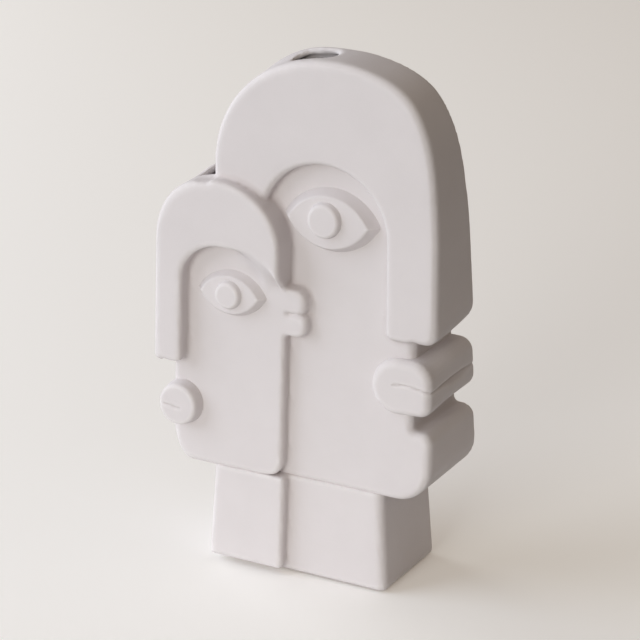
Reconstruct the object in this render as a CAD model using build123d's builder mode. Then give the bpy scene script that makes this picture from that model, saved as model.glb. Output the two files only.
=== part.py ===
"""Slab-built stoneware vase of two abstract heads on one stepped neck. Millimetres, +Z up.

The origin is on the table under the middle of the vase. The large head looks right (+X), the small
head looks left (-X), the faces look towards -Y, and the plain back leans forward towards the crown.
"""
import os
from math import cos, radians, sqrt, tan

from build123d import *

# Slabs and bent strips
wall = 6.0                  # thickness of the bent strips and of the neck tube
face_thick = 6.0            # thickness of the large face slab
back_thick = 6.0            # thickness of the back slab
lap = 7.0                   # width of the lap joint behind a raised brow

# Planes of the front and the back
face_y = -26.87             # large face, carried down to the table
body_depth = 72.85          # from the large face to the back, carried down to the table
face_lean = 3.0             # degrees that the faces lean back
back_lean = 7.4             # degrees that the back leans forward
brow_back = 3.6             # upright front of the large brow, behind the foot of the face
small_step = 7.5            # small face stands proud of the large face
small_brow_raise = 8.5      # small brow stands proud of the small face
lip_raise = 5.0             # large lips stand proud of the large face
small_lip_raise = 8.0       # small lips stand proud of the small face

# Profile of the large head
head_span = 169.9           # from nose to nose
crown_z = 301.2             # top of the vase
crown_x = 22.4              # highest point of the crown
left_x = -52.6              # left side of the large head
crown_left_rise = 69.2      # rise of the left of the crown
crown_right_rise = 96.2     # rise of the right of the crown
jaw_z = 56.7                # underside of both heads
chin_tall = 41.6            # height of the chin
chin_set_back = 2.9         # chin profile behind the nose
chin_radius = 21.0          # corner under the chin
chin_top_radius = 7.0       # corner over the chin
notch_depth = 14.7          # notches beside the lips, behind the nose
notch_low = 10.0            # notch between chin and lower lip
notch_high = 9.7            # notch between upper lip and nose
nose_radius = 8.0           # corner under the nose

# Large brow, eye and lips
nose_width = 30.0           # width of the nose, seen from the front
arch_half = 38.0            # half width of the brow arch
arch_rise = 37.3            # rise of the brow arch
brow_tall = 58.4            # height of the brow over its arch
eye_aside = 1.5             # middle of the eye, right of the middle of the arch
eye_up = 5.5                # middle of the eye, over the springing of the arch
eye_half = 30.0             # half width of the almond
eye_tall = 18.0             # half height of the almond
eye_raise = 5.0             # thickness of the almond plate
iris_radius = 10.0          # large iris
iris_aside = 1.4            # middle of the large iris, left of the middle of its eye
iris_up = 0.9               # and over it
iris_raise = 3.5            # thickness of the large iris
lip_set_back = 1.9          # lips behind the nose
lip_long = 36.5             # length of the lips across the face
lip_tall = 16.0             # height of one lip
upper_lip_radius = 9.6      # corner over the upper lip
lower_lip_radius = 6.0      # corner under the lower lip

# Profile of the small head
small_crown_x = -45.6       # highest point of the small crown
crown_step = 74.7           # top of the small head, under the top of the vase
small_right = -6.2          # right side of the small head
small_left_rise = 40.0      # rise of the left of the small crown
small_right_rise = 35.0     # rise of the right of the small crown
small_nose_z = 117.0        # underside of the small nose
small_nose_radius = 3.8     # corner under the small nose
small_notch_depth = 7.6     # notch under the small nose
small_chin_tall = 23.3      # height of the chin curve
small_chin_run = 13.0       # width of the chin curve
small_jaw_radius = 8.5      # right corner of the jaw

# Small brow, eye, lips and ear
small_nose_width = 16.0     # width of the small nose, seen from the front
small_arch_half = 27.4      # half width of the left half of the brow arch
small_arch_rise = 21.6      # rise of that half
small_brow_tall = 37.9      # height of the small brow over its arch
small_arch_past = 5.3       # the right half springs this far past the side of the head
small_brow_drop = 18.8      # right end of the small brow, under the top of its arch
small_eye_aside = 2.6       # middle of the eye, right of the middle of the arch
small_eye_down = 27.0       # middle of the eye, under the top of the arch
small_eye_half = 22.0       # half width of the almond
small_eye_tall = 13.2       # half height of the almond
small_eye_raise = 4.5       # thickness of the almond plate
small_iris_radius = 8.0     # small iris
small_iris_raise = 3.0      # thickness of the small iris
small_lip_in = 8.7          # middle of the round mouth, in from the notch
small_lip_up = 34.3         # line between the small lips, over the jaw
small_lip_radius = 12.0     # size of the round mouth
ear_out = 5.0               # middle of the upper ear lobe, out from the side of the head
ear_up = 1.5                # middle of the upper ear lobe, over the middle of the small eye
ear_radius = 8.5            # upper ear lobe
lobe_out = 7.0              # middle of the lower ear lobe, out from the side of the head
lobe_down = 14.7            # middle of the lower ear lobe, under the upper one
lobe_radius = 6.7           # lower ear lobe

# Mouths of the vase
mouth_x = -4.6              # middle of the large mouth
mouth_width = 32.0          # width of the large mouth
small_mouth_width = 15.0    # small mouth, beside the large head

# Neck and foot
neck_left = -49.2           # left side of the neck, under the heads
neck_right = 53.4           # right side of the neck, under the heads
neck_set_in = 1.5           # neck, in from the face
neck_back_in = 3.8          # neck, in from the back
neck_left_flare = 2.2       # left side spreads by this much at the foot
neck_right_flare = 4.6      # right side spreads by this much at the foot
neck_front_flare = 5.7      # front spreads by this much at the foot
neck_lift = 1.0             # lower edge of the neck above the table
small_neck_lift = 3.5       # lower edge of the small neck above the table
foot_thick = 7.0            # floor of the vase

# Soft edges
brow_edge = 3.5             # raised brows and noses
face_edge = 3.0             # faces, chins and jaws
lip_edge = 3.0              # lips
ear_edge = 2.5              # ear lobes
iris_edge = 2.0             # irises
neck_edge = 4.0             # upright corners of the neck
back_edge = 4.0             # rim of the back
eye_slope = 40.0            # degrees, sloping edge of the almonds
soft = 0.8                  # an edge rounds off at most this share of its slab

# Places that follow from the sizes
nose_x = head_span / 2
small_nose_x = -head_span / 2
chin_x = nose_x - chin_set_back
lip_x = nose_x - lip_set_back
notch_x = nose_x - notch_depth
chin_z = jaw_z + chin_tall
lip_foot = chin_z + notch_low
lip_seam = lip_foot + lip_tall
lip_top = lip_seam + lip_tall
nose_z = lip_top + notch_high
lip_left = lip_x - lip_long
arch_right = nose_x - nose_width
arch_x = arch_right - arch_half
arch_z = crown_z - brow_tall - arch_rise
eye_x = arch_x + eye_aside
eye_z = arch_z + eye_up
iris_x = eye_x - iris_aside
iris_z = eye_z + iris_up
right_base = crown_z - crown_right_rise
right_half = nose_x - crown_x
left_base = crown_z - crown_left_rise
left_half = crown_x - left_x
small_notch_x = small_nose_x + small_notch_depth
small_chin_x = small_notch_x + small_chin_run
small_chin_z = jaw_z + small_chin_tall
small_crown_z = crown_z - crown_step
small_left_base = small_crown_z - small_left_rise
small_right_base = small_crown_z - small_right_rise
small_arch_left = small_nose_x + small_nose_width
small_arch_x = small_arch_left + small_arch_half
small_arch_z = small_crown_z - small_brow_tall
small_spring = small_arch_z - small_arch_rise
small_eye_x = small_arch_x + small_eye_aside
small_eye_z = small_arch_z - small_eye_down
small_lip_x = small_notch_x + small_lip_in
small_lip_z = jaw_z + small_lip_up
ear_x = small_right + ear_out
ear_z = small_eye_z + ear_up
lobe_x = small_right + lobe_out
lobe_z = ear_z - lobe_down
mouth_left = mouth_x - mouth_width / 2
mouth_right = mouth_x + mouth_width / 2
reach = 2 * body_depth

# Planes that cut the slabs, each with its normal towards the front
slope = tan(radians(face_lean))
back_slope = tan(radians(back_lean))
upright = cos(radians(face_lean))
small_y = face_y - small_step
back_y = face_y + body_depth
front_dir = (0, -1, slope)
back_dir = (0, -1, -back_slope)
face_plane = Plane((0, face_y, 0), (1, 0, 0), front_dir)
face_inner = Plane((0, face_y + face_thick, 0), (1, 0, 0), front_dir)
lip_plane = Plane((0, face_y - lip_raise, 0), (1, 0, 0), front_dir)
small_plane = Plane((0, small_y, 0), (1, 0, 0), front_dir)
small_brow_plane = Plane((0, small_y - small_brow_raise, 0), (1, 0, 0), front_dir)
small_lip_plane = Plane((0, small_y - small_lip_raise, 0), (1, 0, 0), front_dir)
brow_plane = Plane((0, face_y + brow_back, 0), (1, 0, 0), (0, -1, 0))
back_plane = Plane((0, back_y, 0), (1, 0, 0), back_dir)
back_inner = Plane((0, back_y - back_thick, 0), (1, 0, 0), back_dir)

# Right half of the crown, as shares of its width and rise: nearly upright over the nose, then round
crown_curve = [
    (1.0, 0.0), (0.977, 0.31), (0.941, 0.51), (0.869, 0.68),
    (0.739, 0.83), (0.552, 0.921), (0.288, 0.978), (0.0, 1.0),
]


def crown_points(inset):
    """Points along the right half of the crown, moved in by inset."""
    wide = right_half - inset
    high = crown_right_rise - inset
    return [(crown_x + u * wide, right_base + v * high) for u, v in crown_curve]


def almond(x, v, half, tall):
    """Two arcs that meet at the corners of an eye."""
    ThreePointArc((x - half, v), (x, v + tall), (x + half, v))
    ThreePointArc((x + half, v), (x, v - tall), (x - half, v))


def neck_corners(z, inset):
    """Corners of the flared neck at height z, moved in by inset."""
    spread = (jaw_z - z) / (jaw_z - neck_lift)
    left = neck_left - neck_left_flare * spread + inset
    right = neck_right + neck_right_flare * spread - inset
    front = face_y + slope * jaw_z + neck_set_in - neck_front_flare * spread + inset
    rear = back_y - back_slope * jaw_z - neck_back_in - inset
    return [(left, front), (right, front), (right, rear), (left, rear)]


def small_neck_corners(z):
    """Corners of the small head's neck at height z, on the front of the tube."""
    (left, front), _, _, _ = neck_corners(z, 0)
    proud = front - small_step
    return [(left, front), (left, proud), (small_right, proud), (small_right, front)]


# Profile of the large head
with BuildSketch(Plane.XZ) as large_outline:
    with BuildLine():
        Polyline(
            (left_x, left_base), (left_x, jaw_z), (chin_x, jaw_z), (chin_x, chin_z),
            (notch_x, chin_z), (notch_x, nose_z), (nose_x, nose_z), (nose_x, right_base),
        )
        Spline(crown_points(0), tangents=[(0, 1), (-1, 0)])
        EllipticalCenterArc((crown_x, left_base), left_half, crown_left_rise, start_angle=90, arc_size=90)
    make_face()
    fillet(large_outline.vertices().sort_by_distance((chin_x, jaw_z))[0], chin_radius)
    fillet(large_outline.vertices().sort_by_distance((chin_x, chin_z))[0], chin_top_radius)
    fillet(large_outline.vertices().sort_by_distance((nose_x, nose_z))[0], nose_radius)

# Hollow of the large head, one wall inside its profile
with BuildSketch(Plane.XZ) as large_hollow:
    with BuildLine():
        Polyline(
            (left_x + wall, left_base), (left_x + wall, jaw_z + wall), (chin_x - wall, jaw_z + wall),
            (chin_x - wall, chin_z - wall), (notch_x - wall, chin_z - wall), (notch_x - wall, nose_z + wall),
            (nose_x - wall, nose_z + wall), (nose_x - wall, right_base),
        )
        Spline(crown_points(wall), tangents=[(0, 1), (-1, 0)])
        EllipticalCenterArc(
            (crown_x, left_base), left_half - wall, crown_left_rise - wall, start_angle=90, arc_size=90
        )
    make_face()
    fillet(large_hollow.vertices().sort_by_distance((chin_x - wall, jaw_z + wall))[0], chin_radius - wall)

# Profile of the small head
with BuildSketch(Plane.XZ) as small_outline:
    with BuildLine():
        Spline((small_notch_x, small_chin_z), (small_chin_x, jaw_z), tangents=[(0, -1), (1, 0)])
        Polyline((small_chin_x, jaw_z), (small_right, jaw_z), (small_right, small_right_base))
        EllipticalCenterArc(
            (small_crown_x, small_right_base), small_right - small_crown_x, small_right_rise,
            start_angle=0, arc_size=90,
        )
        EllipticalCenterArc(
            (small_crown_x, small_left_base), small_crown_x - small_nose_x, small_left_rise,
            start_angle=90, arc_size=90,
        )
        Polyline(
            (small_nose_x, small_left_base), (small_nose_x, small_nose_z),
            (small_notch_x, small_nose_z), (small_notch_x, small_chin_z),
        )
    make_face()
    fillet(small_outline.vertices().sort_by_distance((small_right, jaw_z))[0], small_jaw_radius)
    fillet(small_outline.vertices().sort_by_distance((small_nose_x, small_nose_z))[0], small_nose_radius)

# Flower pocket in the small head, one wall inside its profile and open towards the large head
with BuildSketch(Plane.XZ) as small_hollow:
    with BuildLine():
        Spline(
            (small_notch_x + wall, small_chin_z), (small_chin_x, jaw_z + wall), tangents=[(0, -1), (1, 0)]
        )
        Polyline(
            (small_chin_x, jaw_z + wall), (small_crown_x, jaw_z + wall), (small_crown_x, small_crown_z - wall)
        )
        EllipticalCenterArc(
            (small_crown_x, small_left_base), small_crown_x - small_nose_x - wall, small_left_rise - wall,
            start_angle=90, arc_size=90,
        )
        Polyline(
            (small_nose_x + wall, small_left_base), (small_nose_x + wall, small_nose_z + wall),
            (small_notch_x + wall, small_nose_z + wall), (small_notch_x + wall, small_chin_z),
        )
    make_face()

# Recess under the large brow, and the face slab that laps behind it
with BuildSketch(Plane.XZ) as large_recess:
    with Locations((arch_x, arch_z)):
        Ellipse(arch_half, arch_rise)
    with Locations((arch_right, arch_z)):
        Rectangle(reach, arch_z, align=(Align.MAX, Align.MAX))
    with Locations((nose_x + wall, nose_z)):
        Rectangle(2 * reach, nose_z, align=(Align.MAX, Align.MAX))
    fillet(large_recess.vertices().sort_by_distance((arch_right, nose_z))[0], brow_edge)
with BuildSketch(Plane.XZ) as large_face_zone:
    with Locations((arch_x, arch_z)):
        Ellipse(arch_half + lap, arch_rise + lap)
    with Locations((arch_right + lap, arch_z)):
        Rectangle(2 * reach, arch_z, align=(Align.MAX, Align.MAX))
    with Locations((nose_x + wall, nose_z)):
        Rectangle(2 * reach, nose_z, align=(Align.MAX, Align.MAX))
    with Locations((arch_x - arch_half, small_crown_z + lap)):
        Rectangle(reach, small_crown_z, align=(Align.MAX, Align.MAX))

# Recess under the small brow
small_arch_wide = small_right - small_arch_x + small_arch_past
small_share = sqrt(1 - ((small_right - small_arch_x) / small_arch_wide) ** 2)
small_fall = small_brow_drop / (1 - small_share)
with BuildSketch(Plane.XZ) as small_recess:
    with BuildLine():
        EllipticalCenterArc(
            (small_arch_x, small_spring), small_arch_half, small_arch_rise, start_angle=90, arc_size=90
        )
        EllipticalCenterArc(
            (small_arch_x, small_arch_z - small_fall), small_arch_wide, small_fall, start_angle=0, arc_size=90
        )
        Polyline(
            (small_arch_x + small_arch_wide, small_arch_z - small_fall), (small_arch_x + small_arch_wide, 0),
            (small_arch_left, 0), (small_arch_left, small_spring),
        )
    make_face()
    with Locations((small_arch_x, small_nose_z)):
        Rectangle(reach, small_nose_z, align=(Align.CENTER, Align.MAX))

# Back of both heads
with BuildPart() as back_slab:
    with BuildSketch(Plane.XZ):
        add(large_outline.sketch_local)
        add(small_outline.sketch_local)
    extrude(amount=reach, both=True)
    split(bisect_by=back_plane, keep=Keep.TOP)
    split(bisect_by=back_inner, keep=Keep.BOTTOM)
    back_face = back_slab.faces().filter_by(back_plane).sort_by(Axis.Y)[-1]
    fillet(back_face.edges(), min(back_edge, soft * back_thick))

# Large face, recessed under the brow
with BuildPart() as large_face_slab:
    with BuildSketch(Plane.XZ):
        add(large_outline.sketch_local)
        add(large_face_zone.sketch_local, mode=Mode.INTERSECT)
    extrude(amount=reach, both=True)
    split(bisect_by=face_plane, keep=Keep.BOTTOM)
    split(bisect_by=face_inner, keep=Keep.TOP)
    sharp_face_slab = large_face_slab.part
    front_face = large_face_slab.faces().filter_by(face_plane).sort_by(Axis.Y)[0]
    chin_edges = front_face.edges().filter_by_position(Axis.Z, jaw_z - lap, chin_z)
    chin_edges = chin_edges.filter_by_position(Axis.X, small_right, nose_x)
    fillet(chin_edges, min(face_edge, soft * face_thick))

# Large brow and nose, one slab that is thinnest under the nose
with BuildPart() as large_brow_nose:
    with BuildSketch(Plane.XZ):
        add(large_outline.sketch_local)
        add(large_recess.sketch_local, mode=Mode.SUBTRACT)
        add(small_outline.sketch_local, mode=Mode.SUBTRACT)
    extrude(amount=reach, both=True)
    split(bisect_by=brow_plane, keep=Keep.BOTTOM)
    split(bisect_by=face_plane, keep=Keep.TOP)
    front_face = large_brow_nose.faces().filter_by(brow_plane).sort_by(Axis.Y)[0]
    clear_edges = front_face.edges().filter_by(lambda e: small_outline.sketch.distance_to(e.center()) > lap)
    fillet(clear_edges, min(brow_edge, soft * (slope * nose_z - brow_back)))

# Strip from the large mouth over the forehead to the underside of the nose
with BuildPart() as large_forehead_wall:
    with BuildSketch(Plane.XZ):
        add(large_outline.sketch_local)
        with Locations((mouth_right, nose_z)):
            Rectangle(reach, crown_z, align=(Align.MIN, Align.MIN), mode=Mode.INTERSECT)
        add(large_hollow.sketch_local, mode=Mode.SUBTRACT)
    extrude(amount=reach, both=True)
    split(bisect_by=face_plane, keep=Keep.BOTTOM)
    split(bisect_by=back_inner, keep=Keep.TOP)
    add(sharp_face_slab, mode=Mode.SUBTRACT)

# Strip from the large mouth down the left side
with BuildPart() as large_crown_wall:
    with BuildSketch(Plane.XZ):
        add(large_outline.sketch_local)
        with Locations((mouth_left, 0)):
            Rectangle(reach, 2 * crown_z, align=(Align.MAX, Align.MIN), mode=Mode.INTERSECT)
        add(large_hollow.sketch_local, mode=Mode.SUBTRACT)
        with Locations((neck_left + wall, 0)):
            Rectangle(reach, nose_z, align=(Align.MIN, Align.MIN), mode=Mode.SUBTRACT)
    extrude(amount=reach, both=True)
    split(bisect_by=face_plane, keep=Keep.BOTTOM)
    split(bisect_by=back_inner, keep=Keep.TOP)
    add(sharp_face_slab, mode=Mode.SUBTRACT)

# Strip round the notch behind the lips, the chin and the jaw
with BuildPart() as large_jaw_wall:
    with BuildSketch(Plane.XZ):
        add(large_outline.sketch_local)
        with Locations((neck_right - wall, 0)):
            Rectangle(reach, nose_z, align=(Align.MIN, Align.MIN), mode=Mode.INTERSECT)
        add(large_hollow.sketch_local, mode=Mode.SUBTRACT)
    extrude(amount=reach, both=True)
    split(bisect_by=face_inner, keep=Keep.BOTTOM)
    split(bisect_by=back_inner, keep=Keep.TOP)

# Small face, cut away behind the small mouth
with BuildPart() as small_face_slab:
    with BuildSketch(Plane.XZ):
        add(small_outline.sketch_local)
        with Locations((left_x, small_arch_z + lap)):
            Rectangle(reach, reach, align=(Align.MAX, Align.MIN), mode=Mode.SUBTRACT)
    extrude(amount=reach, both=True)
    split(bisect_by=small_plane, keep=Keep.BOTTOM)
    split(bisect_by=face_plane, keep=Keep.TOP)
    sharp_small_slab = small_face_slab.part
    front_face = small_face_slab.faces().filter_by(small_plane).sort_by(Axis.Y)[0]
    jaw_edges = front_face.edges().filter_by_position(Axis.Z, jaw_z - lap, small_eye_z)
    jaw_edges = jaw_edges.filter_by_position(Axis.X, small_notch_x, small_right)
    fillet(jaw_edges, min(face_edge, soft * small_step))

# Strip round the flower pocket of the small head, from its mouth down to the jaw
with BuildPart() as small_head_wall:
    with BuildSketch(Plane.XZ):
        add(small_outline.sketch_local)
        with Locations((left_x, 0)):
            Rectangle(reach, crown_z, align=(Align.MAX, Align.MIN), mode=Mode.INTERSECT)
        add(small_hollow.sketch_local, mode=Mode.SUBTRACT)
        with Locations((left_x - small_mouth_width, small_nose_z)):
            Rectangle(reach, crown_z, align=(Align.MIN, Align.MIN), mode=Mode.SUBTRACT)
    extrude(amount=reach, both=True)
    split(bisect_by=small_plane, keep=Keep.BOTTOM)
    split(bisect_by=back_inner, keep=Keep.TOP)
    add(sharp_small_slab, mode=Mode.SUBTRACT)

# Small brow and nose
with BuildPart() as small_brow_nose:
    with BuildSketch(Plane.XZ):
        add(small_outline.sketch_local)
        add(small_recess.sketch_local, mode=Mode.SUBTRACT)
    extrude(amount=reach, both=True)
    split(bisect_by=small_brow_plane, keep=Keep.BOTTOM)
    split(bisect_by=small_plane, keep=Keep.TOP)
    front_face = small_brow_nose.faces().filter_by(small_brow_plane).sort_by(Axis.Y)[0]
    fillet(front_face.edges(), min(brow_edge, soft * small_brow_raise))

# Large eye: an almond plate with sloping edges, tucked behind the small head, and the iris on it
eye_v = eye_z / upright
eye_inset = eye_raise * tan(radians(eye_slope))
with BuildPart() as large_eye:
    with BuildSketch(face_plane):
        with BuildLine():
            almond(eye_x, eye_v, eye_half, eye_tall)
        make_face()
    with BuildSketch(face_plane.offset(eye_raise)):
        with BuildLine():
            almond(eye_x, eye_v, eye_half - eye_inset, eye_tall - eye_inset)
        make_face()
    loft(ruled=True)
    add(sharp_small_slab, mode=Mode.SUBTRACT)
    add(large_brow_nose.part, mode=Mode.SUBTRACT)
with BuildPart() as large_iris:
    with BuildSketch(face_plane.offset(eye_raise)):
        with Locations((iris_x, iris_z / upright)):
            Circle(iris_radius)
    extrude(amount=iris_raise)
    fillet(large_iris.faces().sort_by(Axis.Y)[0].edges(), min(iris_edge, soft * iris_raise))

# Small eye, the same way
small_eye_v = small_eye_z / upright
small_inset = small_eye_raise * tan(radians(eye_slope))
with BuildPart() as small_eye:
    with BuildSketch(small_plane):
        with BuildLine():
            almond(small_eye_x, small_eye_v, small_eye_half, small_eye_tall)
        make_face()
    with BuildSketch(small_plane.offset(small_eye_raise)):
        with BuildLine():
            almond(small_eye_x, small_eye_v, small_eye_half - small_inset, small_eye_tall - small_inset)
        make_face()
    loft(ruled=True)
    add(small_brow_nose.part, mode=Mode.SUBTRACT)
with BuildPart() as small_iris:
    with BuildSketch(small_plane.offset(small_eye_raise)):
        with Locations((small_eye_x, small_eye_v)):
            Circle(small_iris_radius)
    extrude(amount=small_iris_raise)
    fillet(small_iris.faces().sort_by(Axis.Y)[0].edges(), min(iris_edge, soft * small_iris_raise))

# Space behind the face planes, seen from the side: the lips keep out of it inside the notches
with BuildSketch(Plane.YZ) as behind_face:
    with BuildLine():
        Polyline((face_y, 0), (face_y + slope * crown_z, crown_z), (reach, crown_z), (reach, 0), close=True)
    make_face()
with BuildSketch(Plane.YZ) as behind_small_face:
    with BuildLine():
        Polyline((small_y, 0), (small_y + slope * crown_z, crown_z), (reach, crown_z), (reach, 0), close=True)
    make_face()

# Lips of the large head: each wraps from the face round the side to the back
with BuildPart() as large_upper_lip:
    with BuildSketch(Plane.XZ) as upper_lip_face:
        with BuildLine():
            RadiusArc((lip_left, lip_seam), (lip_left + lip_tall, lip_top), lip_tall)
            Polyline(
                (lip_left + lip_tall, lip_top), (lip_x, lip_top), (lip_x, lip_seam), (lip_left, lip_seam)
            )
        make_face()
        fillet(upper_lip_face.vertices().sort_by_distance((lip_x, lip_top))[0], upper_lip_radius)
    extrude(amount=reach, both=True)
    split(bisect_by=lip_plane, keep=Keep.BOTTOM)
    split(bisect_by=back_plane, keep=Keep.TOP)
    with BuildSketch(Plane.YZ.offset(notch_x)):
        add(behind_face.sketch_local)
    extrude(amount=-reach, mode=Mode.SUBTRACT)
    front_face = large_upper_lip.faces().filter_by(lip_plane).sort_by(Axis.Y)[0]
    fillet(front_face.edges().sort_by(Axis.Z)[1:], min(lip_edge, soft * lip_raise))
with BuildPart() as large_lower_lip:
    with BuildSketch(Plane.XZ) as lower_lip_face:
        with BuildLine():
            RadiusArc((lip_left + lip_tall, lip_foot), (lip_left, lip_seam), lip_tall)
            Polyline(
                (lip_left, lip_seam), (lip_x, lip_seam), (lip_x, lip_foot), (lip_left + lip_tall, lip_foot)
            )
        make_face()
        fillet(lower_lip_face.vertices().sort_by_distance((lip_x, lip_foot))[0], lower_lip_radius)
    extrude(amount=reach, both=True)
    split(bisect_by=lip_plane, keep=Keep.BOTTOM)
    split(bisect_by=back_plane, keep=Keep.TOP)
    with BuildSketch(Plane.YZ.offset(notch_x)):
        add(behind_face.sketch_local)
    extrude(amount=-reach, mode=Mode.SUBTRACT)
    front_face = large_lower_lip.faces().filter_by(lip_plane).sort_by(Axis.Y)[0]
    fillet(front_face.edges().sort_by(Axis.Z)[:-1], min(lip_edge, soft * lip_raise))

# Round mouth of the small head, in two halves
with BuildPart() as small_upper_lip:
    with BuildSketch(Plane.XZ):
        with Locations((small_lip_x, small_lip_z)):
            Circle(small_lip_radius)
            Rectangle(reach, reach, align=(Align.CENTER, Align.MAX), mode=Mode.SUBTRACT)
    extrude(amount=reach, both=True)
    split(bisect_by=small_lip_plane, keep=Keep.BOTTOM)
    split(bisect_by=back_plane, keep=Keep.TOP)
    with BuildSketch(Plane.YZ.offset(small_notch_x)):
        add(behind_small_face.sketch_local)
    extrude(amount=reach, mode=Mode.SUBTRACT)
    front_face = small_upper_lip.faces().filter_by(small_lip_plane).sort_by(Axis.Y)[0]
    fillet(front_face.edges().sort_by(Axis.Z)[1:], min(lip_edge, soft * small_lip_raise))
with BuildPart() as small_lower_lip:
    with BuildSketch(Plane.XZ):
        with Locations((small_lip_x, small_lip_z)):
            Circle(small_lip_radius)
            Rectangle(reach, reach, align=(Align.CENTER, Align.MIN), mode=Mode.SUBTRACT)
    extrude(amount=reach, both=True)
    split(bisect_by=small_lip_plane, keep=Keep.BOTTOM)
    split(bisect_by=back_plane, keep=Keep.TOP)
    with BuildSketch(Plane.YZ.offset(small_notch_x)):
        add(behind_small_face.sketch_local)
    extrude(amount=reach, mode=Mode.SUBTRACT)
    front_face = small_lower_lip.faces().filter_by(small_lip_plane).sort_by(Axis.Y)[0]
    fillet(front_face.edges().sort_by(Axis.Z)[:-1], min(lip_edge, soft * small_lip_raise))

# Two-lobed ear, on the large face against the side of the small head
ear_thick = small_step * upright
with BuildPart() as upper_lobe:
    with BuildSketch(face_plane):
        with Locations(((ear_x + small_right - ear_radius) / 2, ear_z / upright)):
            SlotCenterToCenter(ear_out + ear_radius, 2 * ear_radius)
    extrude(amount=ear_thick)
    fillet(upper_lobe.faces().sort_by(Axis.Y)[0].edges(), min(ear_edge, soft * small_step))
with BuildPart() as lower_lobe:
    with BuildSketch(face_plane):
        with Locations(((lobe_x + small_right - lobe_radius) / 2, lobe_z / upright)):
            SlotCenterToCenter(lobe_out + lobe_radius, 2 * lobe_radius)
    extrude(amount=ear_thick)
    fillet(lower_lobe.faces().sort_by(Axis.Y)[0].edges(), min(ear_edge, soft * small_step))
with BuildPart() as small_ear:
    add(upper_lobe.part)
    add(lower_lobe.part)
    with BuildSketch(Plane.XZ):
        add(small_outline.sketch_local)
    extrude(amount=reach, both=True, mode=Mode.SUBTRACT)

# Neck tube, flared towards the foot, with a plain corner where the small neck covers it
with BuildPart() as neck_wall:
    with BuildSketch(Plane.XY.offset(neck_lift)):
        with BuildLine():
            Polyline(neck_corners(neck_lift, 0), close=True)
        make_face()
    with BuildSketch(Plane.XY.offset(jaw_z)):
        with BuildLine():
            Polyline(neck_corners(jaw_z, 0), close=True)
        make_face()
    loft(ruled=True)
    corner_edges = neck_wall.edges().filter_by(lambda e: abs(e.tangent_at(0.5).Z) > 0.9)
    fillet(corner_edges.filter_by(lambda e: e.center().X > 0 or e.center().Y > 0), neck_edge)
    with BuildSketch(Plane.XY.offset(neck_lift)):
        with BuildLine():
            Polyline(neck_corners(neck_lift, wall), close=True)
        make_face()
    with BuildSketch(Plane.XY.offset(jaw_z)):
        with BuildLine():
            Polyline(neck_corners(jaw_z, wall), close=True)
        make_face()
    loft(ruled=True, mode=Mode.SUBTRACT)

# Neck of the small head: a proud slab on the front of the tube
with BuildPart() as small_neck_slab:
    with BuildSketch(Plane.XY.offset(small_neck_lift)):
        with BuildLine():
            Polyline(small_neck_corners(small_neck_lift), close=True)
        make_face()
    with BuildSketch(Plane.XY.offset(jaw_z)):
        with BuildLine():
            Polyline(small_neck_corners(jaw_z), close=True)
        make_face()
    loft(ruled=True)
    corner_edges = small_neck_slab.edges().filter_by(lambda e: abs(e.tangent_at(0.5).Z) > 0.9)
    fillet(corner_edges.sort_by(Axis.Y)[0:2], face_edge)

# Floor of the vase, inside the neck, and standing below it
with BuildPart() as foot_slab:
    with BuildSketch(Plane.XY):
        with BuildLine():
            Polyline(neck_corners(0, wall), close=True)
        make_face()
    with BuildSketch(Plane.XY.offset(foot_thick)):
        with BuildLine():
            Polyline(neck_corners(foot_thick, wall), close=True)
        make_face()
    loft(ruled=True)

# Labels and files
os.makedirs("parts", exist_ok=True)
back_slab.part.label = "back_slab"
export_step(back_slab.part, "parts/back_slab.step")
large_face_slab.part.label = "large_face_slab"
export_step(large_face_slab.part, "parts/large_face_slab.step")
large_brow_nose.part.label = "large_brow_nose"
export_step(large_brow_nose.part, "parts/large_brow_nose.step")
large_forehead_wall.part.label = "large_forehead_wall"
export_step(large_forehead_wall.part, "parts/large_forehead_wall.step")
large_crown_wall.part.label = "large_crown_wall"
export_step(large_crown_wall.part, "parts/large_crown_wall.step")
large_jaw_wall.part.label = "large_jaw_wall"
export_step(large_jaw_wall.part, "parts/large_jaw_wall.step")
large_eye.part.label = "large_eye"
export_step(large_eye.part, "parts/large_eye.step")
large_iris.part.label = "large_iris"
export_step(large_iris.part, "parts/large_iris.step")
large_upper_lip.part.label = "large_upper_lip"
export_step(large_upper_lip.part, "parts/large_upper_lip.step")
large_lower_lip.part.label = "large_lower_lip"
export_step(large_lower_lip.part, "parts/large_lower_lip.step")
small_face_slab.part.label = "small_face_slab"
export_step(small_face_slab.part, "parts/small_face_slab.step")
small_head_wall.part.label = "small_head_wall"
export_step(small_head_wall.part, "parts/small_head_wall.step")
small_brow_nose.part.label = "small_brow_nose"
export_step(small_brow_nose.part, "parts/small_brow_nose.step")
small_eye.part.label = "small_eye"
export_step(small_eye.part, "parts/small_eye.step")
small_iris.part.label = "small_iris"
export_step(small_iris.part, "parts/small_iris.step")
small_upper_lip.part.label = "small_upper_lip"
export_step(small_upper_lip.part, "parts/small_upper_lip.step")
small_lower_lip.part.label = "small_lower_lip"
export_step(small_lower_lip.part, "parts/small_lower_lip.step")
small_ear.part.label = "small_ear"
export_step(small_ear.part, "parts/small_ear.step")
neck_wall.part.label = "neck_wall"
export_step(neck_wall.part, "parts/neck_wall.step")
small_neck_slab.part.label = "small_neck_slab"
export_step(small_neck_slab.part, "parts/small_neck_slab.step")
foot_slab.part.label = "foot_slab"
export_step(foot_slab.part, "parts/foot_slab.step")
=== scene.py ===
"""Slab-built vase of two abstract heads, in matte bisque stoneware, on a pale studio floor.

The frame holds the vase's solids, in metres. Shapes here are worked out in millimetres in that same
frame and set down in metres: +Z up, the faces towards -Y, the large head's nose towards +X.
"""
from math import cos, pi, radians, sin, tan

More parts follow.
